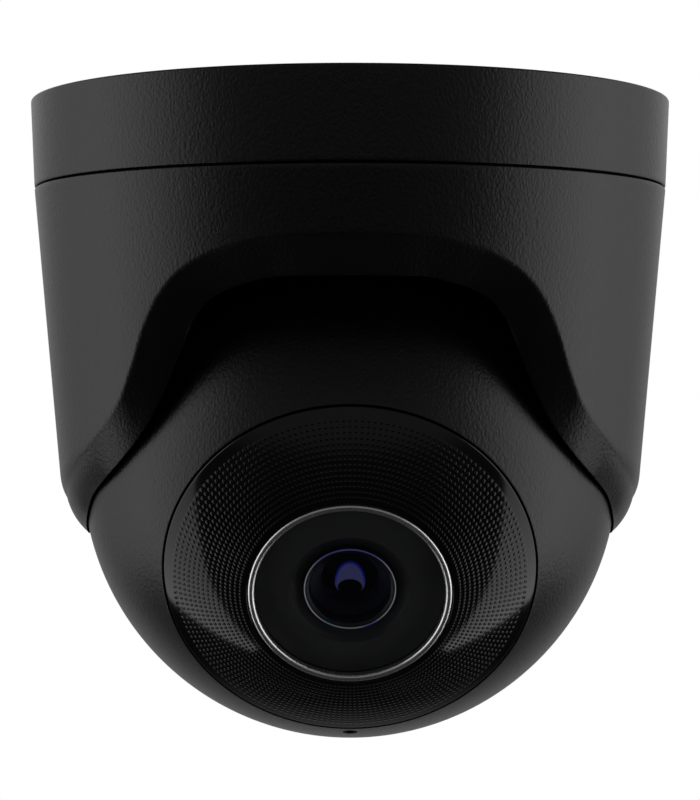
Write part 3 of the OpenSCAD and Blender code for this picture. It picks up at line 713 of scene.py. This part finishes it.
REAR_STEPS = 66
REARWARDS = Vector((0, 0, -1))
SCREW_RING_R, COUNTERBORE_R, SCREW_SEAT = 37.2, 2.5, 22
RECESS_R, RECESS_H, BORE_R = 10, -41.5, 6.5
NECK_R, NECK_H = 11, -33
skin = Skin()
recess_angle = 180 - math.degrees(math.asin(RECESS_R / BALL_R))
zone_start, zone_end = seam_angle + 0.35, recess_angle - 0.5
zone = arc(BALL_R, zone_start, zone_end, REAR_STEPS)
recess_edge = (RECESS_R, -BALL_R * math.sin(math.radians(recess_angle - 90)), 0.25)
pocket = rounded(
    [zone[-1], recess_edge, (RECESS_R, RECESS_H), (BORE_R, RECESS_H, 0.2), (BORE_R, NECK_H)], False, 4
)
inside = arc(SHELL_IN_R, 180 - math.degrees(math.asin(NECK_R / SHELL_IN_R)), seam_angle_in, 30)
outline = [(seam_r - 0.3, SEAM_H), (seam_r - 0.06, SEAM_H - 0.16)] + zone + pocket[1:]
outline += [(NECK_R, NECK_H)] + inside
rear_rows = skin.rows(outline, BALL_COLUMNS)
step = (zone_end - zone_start) / REAR_STEPS
outermost, innermost = [
    180 - math.degrees(math.asin((SCREW_RING_R + s * (COUNTERBORE_R + 0.9)) / BALL_R)) for s in (1, -1)
]
near = [2 + k for k in range(REAR_STEPS + 1) if outermost - 0.5 < zone_start + step * k < innermost + 0.5]
windows = {}
for turn in (45, 135, 225, 315):
    middle = round(BALL_COLUMNS * turn / 360)
    windows[turn] = (near[0], near[-1], middle - 8, middle + 8)
skin.grid(rear_rows, closed=True, skip=cells_of(windows.values()))
for turn, window in windows.items():
    a = math.radians(turn)
    centre = Vector((SCREW_RING_R * math.cos(a), SCREW_RING_R * math.sin(a), 0))
    skin.hole(rear_rows, window, centre, REARWARDS, COUNTERBORE_R, on_ball(REARWARDS), 0.2, SCREW_SEAT)
piece("ball_rear", skin, shell_black, "ball", ["rear_shell"], turn=LENS_FRAME)

# Window: a low dome with a smooth margin and rings of small raised dots

DOTS, ROWS, PITCH, FIRST_ROW = 180, 15, 0.775, 28.25
DOT_R, DOT_H = 0.3, 0.06
WINDOW_FOOT, WINDOW_TOP = height_on_axis("ir_window")
WINDOW_IN_R = BEZEL_R + 0.1
WINDOW_RIM = math.sqrt(BALL_R**2 - WINDOW_R**2) - 0.1
BOW = 0.55
MARGIN_R = 29.6


def dome(r):
    """Height of the window's smooth dome at a radius."""
    s = (WINDOW_R - r) / (WINDOW_R - WINDOW_IN_R)
    return WINDOW_RIM + (WINDOW_TOP - WINDOW_RIM) * s + 4 * BOW * s * (1 - s)


def ring_points(r, h):
    """A ring of 2 x DOTS points: the corners of the dots' cells, and the points between them."""
    turns = [math.pi * (i - 1) / DOTS for i in range(2 * DOTS)]
    return [(r * math.cos(t), r * math.sin(t), h) for t in turns]


skin = Skin()
bounds_of_rows = [FIRST_ROW + PITCH / 2 - PITCH * j for j in range(ROWS + 1)]
cell_edges = [skin.add(ring_points(r, dome(r))) for r in bounds_of_rows]
for j in range(ROWS):
    r_mid = FIRST_ROW - PITCH * j
    middles = skin.add(ring_points(r_mid, dome(r_mid))[::2])
    dot_r = min(DOT_R, 0.46 * r_mid * 2 * math.pi / DOTS)
    out, inn = cell_edges[j], cell_edges[j + 1]
    for i in range(DOTS):
        a = 2 * math.pi * i / DOTS
        k = (2 * i + 2) % (2 * DOTS)
        loop = [
            middles[(i + 1) % DOTS], out[k], out[2 * i + 1], out[2 * i],
            middles[i], inn[2 * i], inn[2 * i + 1], inn[k],
        ]
        last = loop
        for share in (1.0, 0.72, 0.38):
            row = []
            for q in range(8):
                psi = math.pi * q / 4
                t, s = dot_r * share * math.cos(psi), dot_r * share * math.sin(psi)
                r = r_mid + s
                h = dome(r) + DOT_H * (1 - share**2)
                row.append((r * math.cos(a + t / r_mid), r * math.sin(a + t / r_mid), h))
            row = skin.add(row)
            skin.bridge(last, row)
            last = row
        top = skin.add([(r_mid * math.cos(a), r_mid * math.sin(a), dome(r_mid) + DOT_H)])
        skin.bridge(last, top * 8)

first_edge = bounds_of_rows[0]
margin = [(r, dome(r)) for r in (first_edge + (MARGIN_R - first_edge) * k / 6 for k in range(1, 7))]
edge = rounded(
    [
        (MARGIN_R, dome(MARGIN_R)), (WINDOW_R, WINDOW_RIM, 0.3),
        (WINDOW_R, WINDOW_FOOT + 0.4), (WINDOW_R, WINDOW_FOOT),
    ],
    False,
    14,
)
under = [(WINDOW_R - 3, WINDOW_FOOT)]
under += [(r, dome(r) - 2) for r in (26, 24, 22, 20, 18, WINDOW_IN_R)]
throat = rounded(
    [
        (WINDOW_IN_R, dome(WINDOW_IN_R) - 1.9), (WINDOW_IN_R, WINDOW_TOP, 0.12),
        (WINDOW_IN_R + 0.3, dome(WINDOW_IN_R + 0.3)),
    ],
    False,
    3,
)
rings = [skin.add(ring_points(r, h)) for r, h in margin + edge[1:] + under + throat]
chain = [cell_edges[0]] + rings + [cell_edges[-1]]
for a, b in zip(chain, chain[1:]):
    skin.bridge(a, b)
piece("window_dome", skin, window_black, "ball", ["ir_window"], LENS_FRAME, sharp=13)

# Lens: silver ring, clear cover with its printed mask, barrel and glass

GLASS_EDGE_R = 4.55


def turned(name, outlines, columns, material, stands_for=(), closed=True, sharp=38):
    """A part of the lens, turned about its axis from each outline."""
    skin = Skin()
    for outline in outlines:
        skin.lathe(outline, columns, closed)
    piece(name, skin, material, "ball", stands_for, LENS_FRAME, sharp=sharp)


def lens_outline(r, front_r, front_h, back_r, back_h):
    """Half the section of a lens, from the middle of its front face to the middle of its back."""
    steps = 14
    xs = [r * i / steps for i in range(steps + 1)]
    front = [(x, front_h - (front_r - math.sqrt(front_r**2 - x * x))) for x in xs]
    back = [(x, back_h + (back_r - math.sqrt(back_r**2 - x * x))) for x in reversed(xs)]
    return front + back


bezel_low, bezel_top = height_on_axis("lens_bezel")
BEZEL_IN_R = BEZEL_R - 1.1
BEZEL_ROUND = 0.53
bezel = [
    (BEZEL_IN_R, bezel_low), (BEZEL_R, bezel_low),
    (BEZEL_R, bezel_top, BEZEL_ROUND), (BEZEL_IN_R, bezel_top, BEZEL_ROUND),
]
turned("bezel_ring", [rounded(bezel, True, 8)], 360, bezel_silver, ["lens_bezel"], sharp=60)

cover_low, cover_top = height_on_axis("lens_cover")
cover = [(0, cover_top), (COVER_R, cover_top, 0.12), (COVER_R, cover_low, 0.08), (0, cover_low)]
turned("cover_pane", [rounded(cover, False, 3)], 240, cover_glass, ["lens_cover"], False)

MASK_IN_R, MASK_OUT_R = 9.7, COVER_R - 0.05
mask_low = cover_low + 0.02
mask_top = mask_low + 0.04
mask = [(MASK_IN_R, mask_top), (MASK_OUT_R, mask_top), (MASK_OUT_R, mask_low), (MASK_IN_R, mask_low)]
turned("cover_mask", [mask], 240, mask_black)

barrel_low, barrel_top = height_on_axis("lens_barrel")
BARREL_BORE_R, BARREL_TAIL_R = 4.6, 6
shoulder = barrel_top - 3.2
barrel = [
    (BARREL_R - 0.3, barrel_top, 0.1), (BARREL_R - 0.75, barrel_top - 0.35, 0.1),
    (BARREL_R - 0.9, barrel_top - 2.6, 0.1), (BARREL_BORE_R, barrel_top - 3.4), (BARREL_BORE_R, barrel_low),
    (BARREL_TAIL_R, barrel_low, 0.2), (BARREL_TAIL_R, shoulder), (BARREL_R, shoulder, 0.15),
    (BARREL_R, barrel_top - 0.2, 0.1),
]
turned("barrel_body", [rounded(barrel, True, 4)], 240, barrel_black, ["lens_barrel"])

rim_in_r, rim_out_r = BARREL_R - 0.12, BARREL_R + 0.04
rim_low, rim_top = barrel_top - 0.2, barrel_top + 0.08
front_rim = [
    (rim_out_r, rim_low, 0.03), (rim_out_r, rim_top, 0.075),
    (rim_in_r, rim_top, 0.075), (rim_in_r, rim_low, 0.03),
]
rim_reflection = iridescent_rim("rim_reflection")
turned("front_rim", [rounded(front_rim, True, 4)], 240, rim_reflection, sharp=60)

element_low, element_top = height_on_axis("front_element")
element = lens_outline(BARREL_R - 0.95, 15, element_top, 60, element_low)
turned("front_lens", [element], 180, front_glass, ["front_element"], False, 60)

group_low, group_top = height_on_axis("inner_elements")
group = [
    lens_outline(GLASS_EDGE_R, 40, group_top - 1.6, 14, group_top - 3.6),
    lens_outline(GLASS_EDGE_R, 10, group_low + 3.4, 12, group_low),
]
turned("lens_group", group, 180, coated_element("lens_painted_reflection"), ["inner_elements"], False, 60)

# Studio: side lights, a dim surround, and a pale room that only the camera sees


def glowing(name, colour):
    """A material that shows its plain colour in any light."""
    made, n = blank(name)
    n.end(n.new("ShaderNodeEmission", Color=(*colour, 1), Strength=1.0))
    return made


def stage_mesh(name, verts, faces, material, camera, light):
    """A part of the studio, seen by the camera, or by the rays that light the object, or both."""
    mesh = bpy.data.meshes.new(name)
    mesh.from_pydata(verts, [], faces)
    mesh.materials.append(material)
    made = bpy.data.objects.new(name, mesh)
    bpy.context.scene.collection.objects.link(made)
    made.visible_camera = camera
    made.visible_diffuse = light
    made.visible_glossy = light
    made.visible_transmission = light
    made.visible_shadow = False


def side_light(name, side, front, peak):
    """A tall soft panel beside the object, dimmer towards the camera, its lower edge cut on the slant."""
    away = 0.42
    centre = Vector((0, -0.035, -0.097))
    # y and z from the centre, in shares of the panel's distance from the object
    shape = [
        (-0.5, 0.75), (-0.66, 0.12), (-0.44, -0.42), (-0.28, -0.8), (-0.1, -1.35), (0.05, -1.95),
        (0.175, -1.9), (0.175, -0.45), (0.85, -0.45), (0.85, 0.75),
    ]
    verts = [(side * away, centre.y + away * y, centre.z + away * z) for y, z in shape]
    made, n = blank(name)
    _, y, _ = n.parts(n.new("ShaderNodeTexCoord").outputs["Object"])
    rise = n.spread(y, verts[1][1], centre.y + away * 0.12, front, peak)
    step = n.spread(y, centre.y + away * 0.14, centre.y + away * 0.22, 1, 0.6)
    fade = n.spread(y, centre.y + away * 0.25, verts[-1][1], 1, 0.45)
    strength = n.maths("MULTIPLY", n.maths("MULTIPLY", rise, step), fade)
    n.end(n.new("ShaderNodeEmission", Strength=strength))
    stage_mesh(name, verts, [list(range(len(verts)))], made, False, True)


side_light("panel_left", -1, 0.5, 1.35)
side_light("panel_right", 1, 0.6, 1.5)

world = bpy.data.worlds.new("studio")
bpy.context.scene.world = world
world.use_nodes = True
n = Nodes(world.node_tree)
_, y, z = n.parts(n.new("ShaderNodeTexCoord").outputs["Generated"])
rear = n.spread(y, 0.35, 0.95, 0, 0.45, True)
rear_high = n.maths("MULTIPLY", rear, n.spread(z, 0.0, 0.12, 1, 1.6, True))
table = n.maths("MULTIPLY", n.spread(z, 0.0, 0.12, 0, 0.13), n.spread(z, 0.45, 0.65, 1, 0.2))
front = n.maths("ADD", n.spread(z, -0.35, 0.0, 0.02, 0.05), table)
surround = n.maths("ADD", rear_high, front)
glow = n.new("ShaderNodeBackground", Strength=surround)
n.end(glow, "ShaderNodeOutputWorld")

ROOM_R, FLOOR_Z, FLOOR_HALF = 4.0, -1.0, 3.4
bm = bmesh.new()
bmesh.ops.create_icosphere(bm, subdivisions=4, radius=ROOM_R)
bm.verts.index_update()
room_verts = [tuple(v.co) for v in bm.verts]
room_faces = [[v.index for v in f.verts] for f in bm.faces]
bm.free()
stage_mesh("backdrop", room_verts, room_faces, glowing("backdrop_white", (1, 1, 1)), True, False)
corners = [(x * FLOOR_HALF, y * FLOOR_HALF, FLOOR_Z) for x, y in ((-1, -1), (1, -1), (1, 1), (-1, 1))]
stage_mesh("floor", corners, [(0, 1, 2, 3)], glowing("floor_pale", (0.93, 0.93, 0.92)), True, False)

# Camera, placed as the photograph's was

camera = bpy.data.cameras.new("camera")
camera.sensor_width = 36
camera.lens = 111.3
camera.clip_start, camera.clip_end = 0.01, 20
view = bpy.data.objects.new("camera", camera)
view.location = (0, -0.430, -0.0512)
view.rotation_euler = (math.pi / 2, 0, 0)
bpy.context.scene.collection.objects.link(view)
bpy.context.scene.camera = view
bpy.context.scene.view_settings.view_transform = "Standard"
